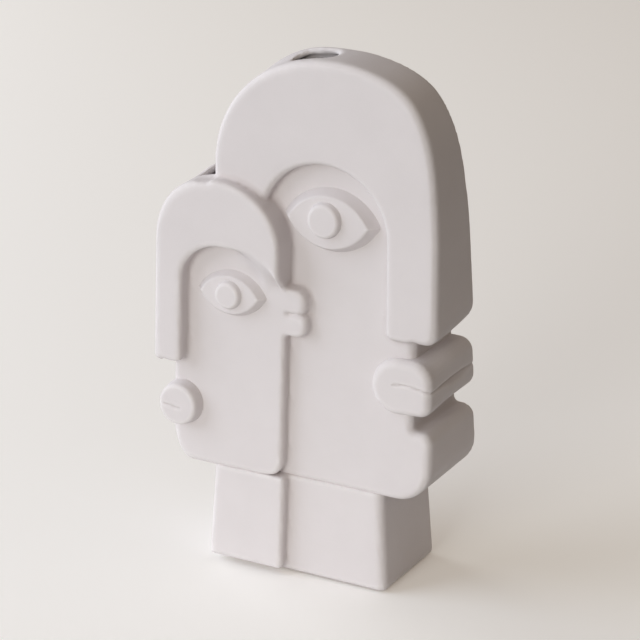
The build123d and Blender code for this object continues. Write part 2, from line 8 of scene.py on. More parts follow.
import bpy
import numpy as np
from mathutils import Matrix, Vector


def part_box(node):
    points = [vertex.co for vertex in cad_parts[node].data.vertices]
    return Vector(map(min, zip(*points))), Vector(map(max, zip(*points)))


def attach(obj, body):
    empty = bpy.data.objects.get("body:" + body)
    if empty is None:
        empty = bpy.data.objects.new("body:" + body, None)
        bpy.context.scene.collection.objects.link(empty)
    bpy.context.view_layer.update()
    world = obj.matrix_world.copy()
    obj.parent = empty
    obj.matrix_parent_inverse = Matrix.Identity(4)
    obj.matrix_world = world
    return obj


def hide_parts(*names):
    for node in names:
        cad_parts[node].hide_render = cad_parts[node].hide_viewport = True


bl_info = {
    "name": "Two-face slab vase",
    "version": (1, 0, 0),
    "blender": (4, 5, 0),
    "location": "View3D > Sidebar > Vase",
    "description": "Builds the fired clay skins of a two-face vase and the studio round it",
    "category": "Add Mesh",
}

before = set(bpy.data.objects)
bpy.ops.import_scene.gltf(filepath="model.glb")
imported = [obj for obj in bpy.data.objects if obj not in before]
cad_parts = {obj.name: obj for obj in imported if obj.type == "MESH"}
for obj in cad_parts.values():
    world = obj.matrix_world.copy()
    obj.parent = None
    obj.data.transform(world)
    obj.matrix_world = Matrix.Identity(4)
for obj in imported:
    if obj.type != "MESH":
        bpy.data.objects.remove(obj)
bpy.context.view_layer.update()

MM = 0.001


def edges(node):
    """Lowest and highest corner of one of the vase's solids, in millimetres."""
    low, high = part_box(node)
    return np.array(low) / MM, np.array(high) / MM


# Places taken from the solids
(left_x, _, _), _ = edges("large_crown_wall")
(_, _, nose_z), (nose_x, _, crown_z) = edges("large_brow_nose")
(_, _, jaw_z), (chin_x, _, _) = edges("large_jaw_wall")
(small_nose_x, _, small_nose_z), (_, _, small_crown_z) = edges("small_brow_nose")
_, (small_right, _, _) = edges("small_face_slab")
(lip_left, _, lip_seam), (lip_x, _, lip_top) = edges("large_upper_lip")
(_, _, lip_foot), _ = edges("large_lower_lip")

# Planes of the faces and the back: where each meets the table, and its lean
face_ahead = 3.6  # large face at the table, in front of the upright brow
body_depth = 72.85  # from there to the back at the table
small_step = 7.5  # small face, proud of the large face
small_brow_raise = 9.8  # small brow, proud of the small face
lip_raise = 5.0  # large lips, proud of the large face
small_lip_raise = 7.85  # small lips, proud of the small face
lip_sunk = 3.0  # how far the lips' skins go on into the heads
wall = 6.0  # clay round the hollows
brow_y = edges("large_brow_nose")[0][1]
face_y, face_lean = brow_y - face_ahead, radians(3.0)
back_y, back_lean = face_y + body_depth, radians(7.4)


def face_at(z):
    """Front of the large face at height z: a plane that leans back by its angle."""
    return face_y + tan(face_lean) * z


def before_face(y, z, step=0.0):
    """Distance in front of the large face, or of a plane a step proud of it, square to that plane."""
    return (face_at(z) - step - y) * cos(face_lean)


def behind_back(y, z):
    """Distance behind the leaning back, square to it."""
    return (y - back_y + tan(back_lean) * z) * cos(back_lean)


# Fields: signed distances in millimetres, negative inside the clay


def round_max(a, b, radius):
    """Common part of two bodies, its convex edge turned on a circle of the radius."""
    past_a, past_b = np.maximum(a + radius, 0), np.maximum(b + radius, 0)
    return np.minimum(np.maximum(a, b), -radius) + np.hypot(past_a, past_b)


def round_min(a, b, radius):
    """Two bodies joined, the hollow corner between them filled on a circle of the radius."""
    short_a, short_b = np.maximum(radius - a, 0), np.maximum(radius - b, 0)
    return np.maximum(np.minimum(a, b), radius) - np.hypot(short_a, short_b)


def ease(start, end, value):
    """Share from 0 to 1 as a value goes from start to end, level at both ends."""
    t = np.clip((value - start) / (end - start), 0, 1)
    return t * t * (3 - 2 * t)


def path_distance(x, z, path):
    """Distance from points to a closed path: the least over its segments.

    It is negative inside, where a level ray from the point crosses the path an odd number of times.
    """
    shape = np.broadcast(x, z).shape
    px = np.broadcast_to(x, shape).reshape(-1, 1)
    pz = np.broadcast_to(z, shape).reshape(-1, 1)
    ax, az = path.T
    bx, bz = np.roll(path, -1, axis=0).T
    ex, ez = bx - ax, bz - az
    share = np.clip(((px - ax) * ex + (pz - az) * ez) / np.maximum(ex * ex + ez * ez, 1e-9), 0, 1)
    least = np.sqrt(((px - ax - share * ex) ** 2 + (pz - az - share * ez) ** 2).min(axis=1))
    spans = (az > pz) != (bz > pz)
    cross = ax + (pz - az) * ex / np.where(np.abs(ez) < 1e-9, 1e-9, ez)
    odd = (spans & (px < cross)).sum(axis=1) % 2 == 1
    return np.where(odd, -least, least).reshape(shape)


def corner(before, at, after, radius, steps=8):
    """Arc that replaces a corner: it touches both edges, its centre on the line that halves the corner."""
    before, at, after = np.array(before, float), np.array(at, float), np.array(after, float)
    a = (before - at) / np.linalg.norm(before - at)
    b = (after - at) / np.linalg.norm(after - at)
    half = np.arccos(np.clip(a @ b, -1, 1)) / 2
    middle = at + (a + b) / np.linalg.norm(a + b) * radius / np.sin(half)
    first = at + a * radius / np.tan(half) - middle
    last = at + b * radius / np.tan(half) - middle
    turn = pi - 2 * half
    t = np.linspace(0, 1, steps)[:, None]
    return middle + (np.sin((1 - t) * turn) * first + np.sin(t * turn) * last) / np.sin(turn)


def turned(points, radii):
    """Run of points with arcs of these radii at its inner corners, and without its two ends."""
    return np.vstack([corner(*points[k:k + 3], radius) for k, radius in enumerate(radii)])


def ellipse(middle_x, middle_z, half_x, half_z, start, end, power=2.0, steps=32):
    """Part of an ellipse between two angles in degrees; a power over 2 makes its shoulders fuller."""
    turn = np.radians(np.linspace(start, end, steps))
    ways = np.cos(turn).round(9), np.sin(turn).round(9)
    across, up = (np.sign(t) * np.abs(t) ** (2 / power) for t in ways)
    return np.stack([middle_x + half_x * across, middle_z + half_z * up], axis=1)


def bend(points, start, end, steps=10):
    """Smooth curve through points: cubic pieces by chord length, each slope from the points beside it."""
    points = np.array(points, float)
    chord = np.linalg.norm(np.diff(points, axis=0), axis=1)
    along = np.concatenate([[0], np.cumsum(chord)])[:, None]
    inner = (points[2:] - points[:-2]) / (along[2:] - along[:-2])
    slopes = np.vstack([[start], inner, [end]])
    t = np.linspace(0, 1, steps, endpoint=False)[None, :, None]
    p, q = points[:-1, None], points[1:, None]
    m, n = slopes[:-1, None] * chord[:, None, None], slopes[1:, None] * chord[:, None, None]
    curve = (2 * t**3 - 3 * t**2 + 1) * p + (t**3 - 2 * t**2 + t) * m
    curve = curve + (3 * t**2 - 2 * t**3) * q + (t**3 - t**2) * n
    return np.vstack([curve.reshape(-1, 2), points[-1:]])


def skin(field, xs, ys, zs):
    """Surface where a field on a grid is zero.

    Each cell that the surface passes through gets one point, the mean of the crossings on its twelve edges.
    Each grid edge that crosses the surface gets one quad, which joins the points of the four cells round it.
    """
    grid = (xs, ys, zs)
    cells = tuple(n - 1 for n in field.shape)
    total = np.zeros(cells + (3,))
    count = np.zeros(cells)
    inside = field < 0
    for axis in range(3):
        others = [k for k in range(3) if k != axis]
        for first in (0, 1):
            for second in (0, 1):
                near = [slice(None, -1)] * 3
                near[others[0]] = slice(first, cells[others[0]] + first)
                near[others[1]] = slice(second, cells[others[1]] + second)
                far = list(near)
                far[axis] = slice(1, None)
                near, far = tuple(near), tuple(far)
                crossed = inside[near] != inside[far]
                share = np.where(crossed, field[near] / np.where(crossed, field[near] - field[far], 1), 0)
                count += crossed
                for k in range(3):
                    line = np.expand_dims(grid[k], tuple(j for j in range(3) if j != k))
                    low = line[tuple(near[j] if j == k else slice(None) for j in range(3))]
                    high = line[tuple(far[j] if j == k else slice(None) for j in range(3))]
                    total[..., k] += np.where(crossed, low + share * (high - low), 0)
    mixed = count > 0
    number = np.full(cells, -1)
    number[mixed] = np.arange(mixed.sum())
    points = total[mixed] / count[mixed][:, None]
    quads = []
    for axis in range(3):
        u, v = (axis + 1) % 3, (axis + 2) % 3
        near = [slice(1, -1)] * 3
        far = [slice(1, -1)] * 3
        near[axis], far[axis] = slice(None, -1), slice(1, None)
        outward = inside[tuple(near)] & ~inside[tuple(far)]
        inward = ~inside[tuple(near)] & inside[tuple(far)]
        ring = []
        for du, dv in ((0, 0), (1, 0), (1, 1), (0, 1)):
            at = [slice(None)] * 3
            at[u] = slice(du, cells[u] - 1 + du)
            at[v] = slice(dv, cells[v] - 1 + dv)
            ring.append(number[tuple(at)])
        ring = np.stack(ring, axis=-1)
        quads += [ring[outward], ring[inward][:, ::-1]]
    return points, np.concatenate(quads)


def spread(low, high, pitch):
    """Even grid lines that reach two cells past both ends."""
    return np.arange(low - 2 * pitch, high + 2.5 * pitch, pitch)


def open_grid(low, high, pitch):
    """Grid lines over a box, and the same lines opened to three dimensions for sums over whole arrays."""
    xs, ys, zs = (spread(low[k], high[k], pitch) for k in range(3))
    return (xs, ys, zs), (xs[:, None, None], ys[None, :, None], zs[None, None, :])


def rings_to_solid(rings):
    """Closed body of stacked rings (ring, point, xyz): quads between neighbours, and a fan over each end."""
    count, steps = rings.shape[:2]
    k, s = np.meshgrid(np.arange(count - 1), np.arange(steps), indexing="ij")
    here, above, after = k * steps, (k + 1) * steps, (s + 1) % steps
    quads = np.stack([here + s, here + after, above + after, above + s], axis=-1)
    points = np.vstack([rings.reshape(-1, 3), rings[0].mean(axis=0), rings[-1].mean(axis=0)])
    around = np.arange(steps)
    low = np.stack([(around + 1) % steps, around, np.full(steps, count * steps)], axis=1)
    top = (count - 1) * steps
    high = np.stack([top + around, top + (around + 1) % steps, np.full(steps, count * steps + 1)], axis=1)
    return points, [quads.reshape(-1, 4), low, high]


# Outlines in the X-Z plane: the places that they run through, and the radii of their turned corners

far_x = nose_x + 40.0  # well outside both heads
under_nose = 25.0  # depth under a nose at which its recess has left the notch
notch_slant = 3.0  # and how far it leans out on the way down
notch_x = nose_x - 14.7  # bottom of the notch that holds the large lips
chin_z = lip_foot - 10.0  # top of the large chin
crown_x = 22.4  # where the two halves of the large crown meet
left_base = crown_z - 69.2  # lower ends of those halves
right_base = crown_z - 96.2
arch_half, arch_rise = 38.0, 37.3  # arch of the large brow
arch_right = nose_x - 30.7  # inner side of the large nose
arch_x = arch_right - arch_half
arch_z = crown_z - 58.4 - arch_rise  # where the arch springs
small_notch_x = small_nose_x + 7.6  # bottom of the notch that holds the small lips
small_chin = (small_notch_x + 13.0, jaw_z)
small_chin_top = (small_notch_x, jaw_z + 23.3)
small_crown_x = -45.6  # where the two halves of the small crown meet
small_right_rise, small_left_rise = 35.0, 40.0
small_arch_x = small_nose_x + 43.4  # right end of the round half of the small brow's arch
small_arch_z = small_crown_z - 37.9  # top of that arch in the solids
ear_x, ear_z = small_right + 5.0, small_arch_z - 25.5
nose_turn, chin_turn = 7.5, 21.0
rear_nose_turn, rear_chin_turn = 14.0, 22.0
chin_top_turn, notch_turn = 7.0, 2.5
small_jaw_turn, small_nose_turn, small_notch_turn = 11.5, 3.8, 1.5
arch_foot_turn, small_arch_foot_turn = 4.0, 3.0


def large_outline(nose_radius, chin_radius):
    """Large head: jaw, chin, notch and nose with turned corners, then the two halves of the crown.

    The right half is a smooth curve through shares of its width and rise, the left half part of an ellipse.
    """
    wide, high = nose_x - crown_x, crown_z - right_base
    shares = [
        (1.0, 0.0), (0.977, 0.31), (0.941, 0.51), (0.869, 0.68),
        (0.739, 0.83), (0.552, 0.921), (0.288, 0.978), (0.0, 1.0),
    ]
    crown = [(crown_x + u * wide, right_base + v * high) for u, v in shares]
    profile = [
        (left_x, jaw_z), (chin_x, jaw_z), (chin_x, chin_z), (notch_x, chin_z),
        (notch_x, nose_z), (nose_x, nose_z), (nose_x, right_base),
    ]
    return np.vstack([
        profile[:1],
        turned(profile, (chin_radius, chin_top_turn, notch_turn, notch_turn, nose_radius)),
        bend(crown, (0, 1), (-1, 0)),
        ellipse(crown_x, left_base, crown_x - left_x, crown_z - left_base, 90, 180, power=2.1),
    ])


def small_crown(start, end):
    """Crown of the small head: parts of a low right and a high left ellipse, between angles in degrees."""
    right_foot, left_foot = small_crown_z - small_right_rise, small_crown_z - small_left_rise
    right_half, left_half = small_right - small_crown_x, small_crown_x - small_nose_x
    return np.vstack([
        ellipse(small_crown_x, right_foot, right_half, small_right_rise, start, 90),
        ellipse(small_crown_x, left_foot, left_half, small_left_rise, 90, end, power=2.3),
    ])


def small_outline():
    """Small head: chin curve, turned jaw corner, crown, nose and notch."""
    nose = [
        (small_nose_x, small_crown_z), (small_nose_x, small_nose_z), (small_notch_x, small_nose_z),
        small_chin_top,
    ]
    return np.vstack([
        bend([small_chin_top, small_chin], (0, -1), (1, 0), steps=20),
        corner(small_chin, (small_right, jaw_z), (small_right, small_crown_z), small_jaw_turn),
        small_crown(0, 180),
        turned(nose, (small_nose_turn, small_notch_turn)),
    ])


def small_overlay():
    """Where the small head lies on the large one: its right side and crown, left open on the far side."""
    open_x, open_z = small_nose_x - 30.0, jaw_z - 30.0
    return np.vstack([
        [(small_right - 16.0, open_z)],
        corner(small_chin, (small_right, jaw_z), (small_right, small_crown_z), small_jaw_turn),
        small_crown(0, 104),
        [(open_x, small_crown_z + 15.0), (open_x, open_z)],
    ])


def large_recess():
    """Face under the large brow: the arch, the inner side of the nose and all that lies under the nose."""
    clear_z = nose_z - under_nose
    return np.vstack([
        [(-far_x, 0), (far_x, 0), (far_x, clear_z), (notch_x + notch_slant, clear_z), (notch_x, nose_z)],
        corner((far_x, nose_z), (arch_right, nose_z), (arch_right, arch_z), arch_foot_turn),
        ellipse(arch_x, arch_z, arch_half, arch_rise, 0, 180),
        [(arch_x - arch_half, small_arch_z), (-far_x, small_arch_z)],
    ])


def small_recess():
    """Face under the small brow: a round left half, a level stretch and a right end that falls to the ear.

    The right end is part of an ellipse that would reach past the head, and falls by the drop at its side.
    """
    arch_left, left_rise = small_nose_x + 17.6, 21.6
    top, foot_z = small_arch_z + 1.0, small_nose_z + 1.0
    level_x, past, drop = small_arch_x + 10.0, 5.3, 18.8
    reach = small_right - level_x
    wide = reach + past
    fall = drop / (1 - np.sqrt(1 - (reach / wide) ** 2))
    side = np.degrees(np.arccos(reach / wide))
    clear_z = small_nose_z - under_nose
    return np.vstack([
        [(-far_x, 0), (far_x, 0), (far_x, top - drop)],
        ellipse(level_x, top - fall, wide, fall, side, 90),
        ellipse(small_arch_x, top - left_rise, small_arch_x - arch_left, left_rise, 90, 180),
        corner((arch_left, top), (arch_left, foot_z), (small_notch_x, foot_z), small_arch_foot_turn),
        [(small_notch_x, foot_z), (small_notch_x - notch_slant, clear_z), (-far_x, clear_z)],
    ])


# Clay bodies


def ear_field(x, z, front):
    """Ear of the small head: two lobes that run out of its side and taper towards the front.

    A lobe ends where its two distances from a middle, each raised to a power, sum to its radius raised so.
    A power of 2 makes the outer half round, and a higher one makes the half towards the other lobe square.
    """
    taper, cleft, grown, square = 0.17, 0.3, 0.5, 3.6
    lobes = []
    for middle_x, middle_z, radius, away in (
        (ear_x, ear_z - 0.6, 7.5, 1), (ear_x + 1.9, ear_z - 14.6, 6.6, -1)
    ):
        power = np.where(away * (z - middle_z) > 0, 2.0, square)
        across, up = np.maximum(x - middle_x, 0), np.abs(z - middle_z)
        lobes.append((across ** power + up ** power) ** (1 / power) - radius)
    return round_min(*lobes, cleft) + taper * np.maximum(front, 0) - grown


def relief_field(x, y, z, flat, form):
    """Front of both heads: each face joined to its brow, the small head and its ear set on the large."""
    small_round, fillet = form.small_round / MM, form.fillet / MM
    ear_root, seam = 2.0, 0.5
    front = before_face(y, z)
    small_front = front - small_step * cos(face_lean)
    small_brow = small_front - small_brow_raise * cos(face_lean)
    large_relief = round_min(front, round_max(-flat["recess"], brow_y - y, form.brow_round / MM), fillet)
    small_relief = round_min(small_front, round_max(-flat["small_recess"], small_brow, small_round), fillet)
    # Towards the ear the step of the small brow dies out, and a slope takes over that is shortest at the ear
    slope_long, slope_less, slope_past = 15.0, 11.0, 3.5
    slope_end = -slope_long + slope_less * ease(small_right - 14.0, small_right - 2.0, x)
    sloped = small_front + (small_brow - small_front) * ease(slope_end, slope_past, flat["small_recess"])
    small_relief = small_relief + ease(small_right - 34.0, small_right - 16.0, x) * (sloped - small_relief)
    over = round_min(flat["over"], ear_field(x, z, front), ear_root)
    return round_min(large_relief, round_max(over, small_relief, small_round), seam)


def hollow_fields(x, y, z, large, small):
    """Spaces inside the large head and inside the small head.

    Each space lies a wall inside its outline. Its mouth is a slot through a thin crown, over a wider throat.
    The large space goes on through the jaw into the neck.
    """
    front, rear = before_face(y, z), behind_back(y, z)
    small_front = front - small_step * cos(face_lean)
    brow = brow_y - y
    soft, pocket_soft = 3.0, 2.0
    hollow = round_max(round_max(large + wall, front + wall, soft), rear + wall, soft)
    # Mouth and throat of the large head
    mouth_x, half, ends, front_rim, back_rim = 2.9, 12.8, 8.0, 8.7, 4.8
    throat_half, throat_deep, throat_front, thin = 22.0, 40.0, 6.0, 3.2
    mouth = round_max(np.abs(x - mouth_x) - half, np.maximum(brow + front_rim, rear + back_rim), ends)
    throat = np.maximum(large + thin, np.abs(x - mouth_x) - throat_half)
    throat = np.maximum(throat, np.maximum(brow + throat_front, rear + thin))
    mouth = np.maximum(np.minimum(mouth, throat), crown_z - throat_deep - z)
    # Way down into the neck
    (neck_x, neck_half), (neck_y, neck_deep), into_head = (2.1, 44.6), (6.2, 21.9), 8.0
    neck_way = np.maximum(np.abs(x - neck_x) - neck_half, np.abs(y - neck_y) - neck_deep)
    neck_way = np.maximum(neck_way, z - jaw_z - into_head)
    # Pocket of the small head, with its mouth and throat
    pocket = round_max(small + wall, np.maximum(front, rear + wall), pocket_soft)
    pocket = round_max(pocket, x - left_x, pocket_soft)
    small_half, small_ends, small_rim, pocket_top = 6.6, 3.0, 5.2, small_arch_z + 7.0
    small_thin, brow_behind = 3.5, 0.5
    small_mouth = np.abs(x - left_x + small_half) - small_half
    small_mouth = round_max(small_mouth, np.maximum(small_front + small_rim, rear + thin), small_ends)
    small_throat = np.maximum(small + small_thin, x - left_x)
    small_throat = np.maximum(small_throat, np.maximum(small_front + brow_behind, rear + thin))
    small_mouth = np.maximum(np.minimum(small_mouth, small_throat), pocket_top - z)
    return np.minimum(np.minimum(hollow, mouth), neck_way), np.minimum(pocket, small_mouth)


def heads_field(x, y, z, form):
    """Both heads: their relief, cut to the outlines and the back, less the spaces inside them."""
    flat = {
        name: path_distance(x, z, path)
        for name, path in (
            ("large", large_outline(nose_turn, chin_turn)),
            ("large_back", large_outline(rear_nose_turn, rear_chin_turn)),
            ("small", small_outline()), ("over", small_overlay()),
            ("recess", large_recess()), ("small_recess", small_recess()),
        )
    }
    # Towards the back the nose and chin turn wider, and the left shoulders of both crowns swell a little
    swell, small_swell, turn_depth = 2.2, 1.5, 50.0
    turned = np.clip((y - brow_y) / turn_depth, 0, 1) ** 2
    behind = ease(-15.0, 8.0, y)
    shoulder = ease(crown_x, crown_x - 35.0, x) * ease(crown_z - 75.0, crown_z - 45.0, z)
    small_shoulder = ease(small_crown_x, small_crown_x - 20.0, x)
    small_shoulder = small_shoulder * ease(small_crown_z - 45.0, small_crown_z - 20.0, z)
    large = flat["large"] + turned * (flat["large_back"] - flat["large"]) - swell * behind * shoulder
    small = flat["small"] - small_swell * behind * small_shoulder
    # Clear of the small head, the edge turns up to 1 mm wider round the foot of the large nose
    clear = ease(-2.0, 8.0, flat["over"])
    nose_foot = ease(nose_z + 16.0, nose_z + 3.0, z) * ease(nose_z - 14.0, nose_z - 4.0, z)
    relief = relief_field(x, y, z, flat, form)
    body = round_max(np.minimum(large, small), relief, form.face_round / MM + clear * nose_foot)
    body = round_max(body, behind_back(y, z), form.back_round / MM)
    # Nothing passes the solids at the left or the back
    body = np.maximum(body, np.maximum(small_nose_x - x, y - edges("back_slab")[1][1]))
    for space in hollow_fields(x, y, z, large, small):
        body = round_max(body, -space, form.rim_round / MM)
    return body


def wear_and_shade(points, faces, normals):
    """How far each point of a skin stands out, from -1 in a tight hollow to 1 on a tight edge.

    A point's neighbours lie under it by a quarter of their squared distance times its summed curvatures.
    That sum is evened out over the neighbours twice and taken as 1 on an edge of the tight radius.
    """
    tight, least = 3.0, 1e-6
    pairs = np.concatenate([np.stack([f, np.roll(f, -1, axis=1)], axis=-1).reshape(-1, 2) for f in faces])
    at, to = pairs.T
    count = np.maximum(np.bincount(at, minlength=len(points)), 1)
    step = points[to] - points[at]
    drop = np.bincount(at, (step * normals[at]).sum(axis=1), len(points)) / count
    reach = np.bincount(at, (step * step).sum(axis=1), len(points)) / count
    bulge = -4 * drop / np.maximum(reach, least)
    for _ in range(2):
        bulge = (bulge + np.bincount(at, bulge[to], len(points)) / count) / 2
    return np.clip(tight * bulge, -1, 1)


def put(context, name, points, faces, nodes):
    """Set a closed mesh, its points in millimetres, into the scene in place of the named solids."""
    mesh = bpy.data.meshes.new(name)
    faces = faces if isinstance(faces, list) else [faces]
    corners = np.concatenate([f.ravel() for f in faces]).astype(np.int32)
    sizes = np.concatenate([np.full(len(f), f.shape[1]) for f in faces]).astype(np.int32)
    mesh.vertices.add(len(points))
    mesh.vertices.foreach_set("co", (points * MM).astype(np.float32).ravel())
    mesh.loops.add(len(corners))
    mesh.loops.foreach_set("vertex_index", corners)
    mesh.polygons.add(len(sizes))
    starts = np.concatenate([[0], np.cumsum(sizes)[:-1]]).astype(np.int32)
    mesh.polygons.foreach_set("loop_start", starts)
    mesh.polygons.foreach_set("use_smooth", np.ones(len(sizes), bool))
    mesh.update(calc_edges=True)
    mesh.validate()
    normals = np.empty(3 * len(points), np.float32)
    mesh.vertex_normals.foreach_get("vector", normals)
    # Curvature of each point: the clay pales the edges with it, as wear and painted highlight, and darkens
    # the hollows with it as painted shade
    worn_and_shaded = wear_and_shade(points, faces, normals.reshape(-1, 3)).astype(np.float32)
    mesh.attributes.new("wear_and_shade", "FLOAT", "POINT").data.foreach_set("value", worn_and_shaded)
    made = bpy.data.objects.new(name, mesh)
    context.collection.objects.link(made)
    made.data.materials.append(bisque_stoneware(context))
    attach(made, "root")
    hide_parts(*nodes)


def colour(hex_code):
    """sRGB hex to linear RGBA."""
    s = np.array([int(hex_code[i:i + 2], 16) for i in (1, 3, 5)]) / 255
    return (*np.where(s <= 0.04045, s / 12.92, ((s + 0.055) / 1.055) ** 2.4), 1.0)


def bare_tree(owner):
    """Empty node tree of a new material or world."""
    owner.use_nodes = True
    owner.node_tree.nodes.clear()
    return owner.node_tree


def add_node(tree, kind, inputs=(), links=(), **fields):
    """Add a node, set its fields and input values, and link its inputs to other nodes' outputs."""
    made = tree.nodes.new(kind)
    for name, value in fields.items():
        setattr(made, name, value)
    for name, value in dict(inputs).items():
        made.inputs[name].default_value = value
    for name, source in dict(links).items():
        tree.links.new(source, made.inputs[name])
    return made


def bisque_stoneware(context):
    """Unglazed stoneware, pressed in slabs and sponged before firing.

    To the eye it is matte and chalky, with a soft cloudy tone, the sponge's dabs and fine grit.
    """
    name = "matte bisque stoneware"
    if name in bpy.data.materials:
        return bpy.data.materials[name]
    clay = context.scene.vase_clay
    made = bpy.data.materials.new(name)
    tree = bare_tree(made)
    place = add_node(tree, "ShaderNodeTexCoord").outputs["Object"]
    cloud, dab, grit = (
        add_node(
            tree, "ShaderNodeTexNoise", {"Scale": 1 / size, "Detail": detail, "Roughness": 0.55},
            {"Vector": place},
        ).outputs["Fac"]
        for size, detail in ((clay.cloud_size, 3.0), (clay.dab_size, 2.0), (clay.grit_size, 2.0))
    )
    # Fingers and sponge rub the edges pale, which also paints a highlight on every edge, and the tight
    # hollows get painted shade
    worn_and_shaded = add_node(tree, "ShaderNodeAttribute", attribute_name="wear_and_shade").outputs["Fac"]
    rubbed_and_lit = add_node(tree, "ShaderNodeMapRange", {"From Min": 0.1, "To Max": 0.9}, {"Value": worn_and_shaded})
    rubbed_and_lit = add_node(
        tree, "ShaderNodeMath", links={0: rubbed_and_lit.outputs["Result"], 1: dab}, operation="MULTIPLY"
    )
    # Painted shade: share of the darker hollow tone, growing with how tight a hollow is
    hollow_shade_share = add_node(
        tree, "ShaderNodeMapRange", {"From Min": -0.1, "From Max": -1.0, "To Max": 0.5}, {"Value": worn_and_shaded}
    )
    # Inputs 6 and 7 of a colour mix are its two colours, and output 2 is the mixed colour
    tone = add_node(
        tree, "ShaderNodeMix", {6: clay.pale, 7: clay.deep}, {0: cloud}, data_type="RGBA"
    ).outputs[2]
    tone = add_node(
        tree, "ShaderNodeMix", {7: clay.rubbed_and_lit}, {0: rubbed_and_lit.outputs[0], 6: tone}, data_type="RGBA"
    ).outputs[2]
    tone = add_node(
        tree, "ShaderNodeMix", {7: clay.slip}, {0: hollow_shade_share.outputs["Result"], 6: tone}, data_type="RGBA"
    ).outputs[2]
    least, most = clay.roughness - 0.06, clay.roughness + 0.06
    rough = add_node(tree, "ShaderNodeMapRange", {"To Min": least, "To Max": most}, {"Value": grit})
    waves = add_node(tree, "ShaderNodeBump", {"Strength": 0.3, "Distance": 0.0003}, {"Height": dab})
    bump = add_node(
        tree, "ShaderNodeBump", {"Strength": 0.3, "Distance": 0.0002},
        {"Height": grit, "Normal": waves.outputs["Normal"]},
    )
    shader = add_node(
        tree, "ShaderNodeBsdfPrincipled", {"Specular IOR Level": 0.2, "IOR": 1.5},
        {"Base Color": tone, "Roughness": rough.outputs["Result"], "Normal": bump.outputs["Normal"]},
    )
    add_node(tree, "ShaderNodeOutputMaterial", links={"Surface": shader.outputs["BSDF"]})
    return made


class VaseForm(bpy.types.PropertyGroup):
    """Softness of the clay's edges and fineness of the skins."""

    brow_round: bpy.props.FloatProperty(
        name="Brow edge", description="Radius of the large brow's edges", default=0.0032, min=0.001,
        unit="LENGTH",
    )
    face_round: bpy.props.FloatProperty(
        name="Face edge", description="Radius of the heads' outer edges", default=0.0042, min=0.001,
        unit="LENGTH",
    )
    small_round: bpy.props.FloatProperty(
        name="Small head edge", description="Radius of the small head's brow and right side",
        default=0.0022, min=0.001, unit="LENGTH",
    )
    back_round: bpy.props.FloatProperty(
        name="Back edge", description="Radius of the rim of the back", default=0.0025, min=0.001,
        unit="LENGTH",
    )
    rim_round: bpy.props.FloatProperty(
        name="Mouth rim", description="Radius of the rims of the two mouths", default=0.0013, min=0.0005,
        unit="LENGTH",
    )
    fillet: bpy.props.FloatProperty(
        name="Step fillet", description="Radius of the hollow corners under the brows", default=0.0015,
        min=0.0005, unit="LENGTH",
    )
    lip_round: bpy.props.FloatProperty(
        name="Lip edge", description="Radius of the lips' edges", default=0.0046, min=0.001, unit="LENGTH"
    )
    small_lip_round: bpy.props.FloatProperty(
        name="Small lip edge", description="Radius of the small lips' front edge", default=0.0016,
        min=0.0005, unit="LENGTH",
    )
    groove: bpy.props.FloatProperty(
        name="Lip line", description="Depth of the line pressed between two lips", default=0.0025, min=0.0,
        unit="LENGTH",
    )
    pitch: bpy.props.FloatProperty(
        name="Skin pitch", description="Grid spacing of the skins of the heads and the neck",
        default=0.00152, min=0.001, unit="LENGTH",
    )


class VaseClay(bpy.types.PropertyGroup):
    """Colour and grain of the fired clay."""

    pale: bpy.props.FloatVectorProperty(
        name="Pale tone", description="Paler tone of the clay", default=colour("#D9D2D2"), size=4, min=0.0,
        max=1.0, subtype="COLOR",
    )
    deep: bpy.props.FloatVectorProperty(
        name="Deep tone", description="Deeper tone of the clay", default=colour("#D1CACA"), size=4,
        min=0.0, max=1.0, subtype="COLOR",
    )
    # Paler tone for convex edges: rubbed wear, and also a painted highlight on every edge
    rubbed_and_lit: bpy.props.FloatVectorProperty(
        name="Rubbed tone", description="Tone of edges rubbed by fingers and sponge",
        default=colour("#E4DEDD"), size=4, min=0.0, max=1.0, subtype="COLOR",
    )
    # Painted shade: a darker tone laid into tight hollow corners, where shade falls
    slip: bpy.props.FloatVectorProperty(
        name="Slip tone", description="Tone of the slip left in hollow corners", default=colour("#BDB3B1"),
        size=4, min=0.0, max=1.0, subtype="COLOR",
    )
    cloud_size: bpy.props.FloatProperty(
        name="Cloud size", description="Width of the clouds of tone", default=0.035, min=0.005,
        unit="LENGTH",
    )
    dab_size: bpy.props.FloatProperty(
        name="Dab size", description="Width of the sponge's dabs", default=0.008, min=0.001, unit="LENGTH"
    )
    grit_size: bpy.props.FloatProperty(
        name="Grit size",
        description="Width of the surface grit, drawn coarser than real grit so that it shows",
        default=0.0011, min=0.0003, unit="LENGTH",
    )
    roughness: bpy.props.FloatProperty(
        name="Roughness", description="Roughness of the bisque", default=0.85, min=0.0, max=1.0,
        subtype="FACTOR",
    )


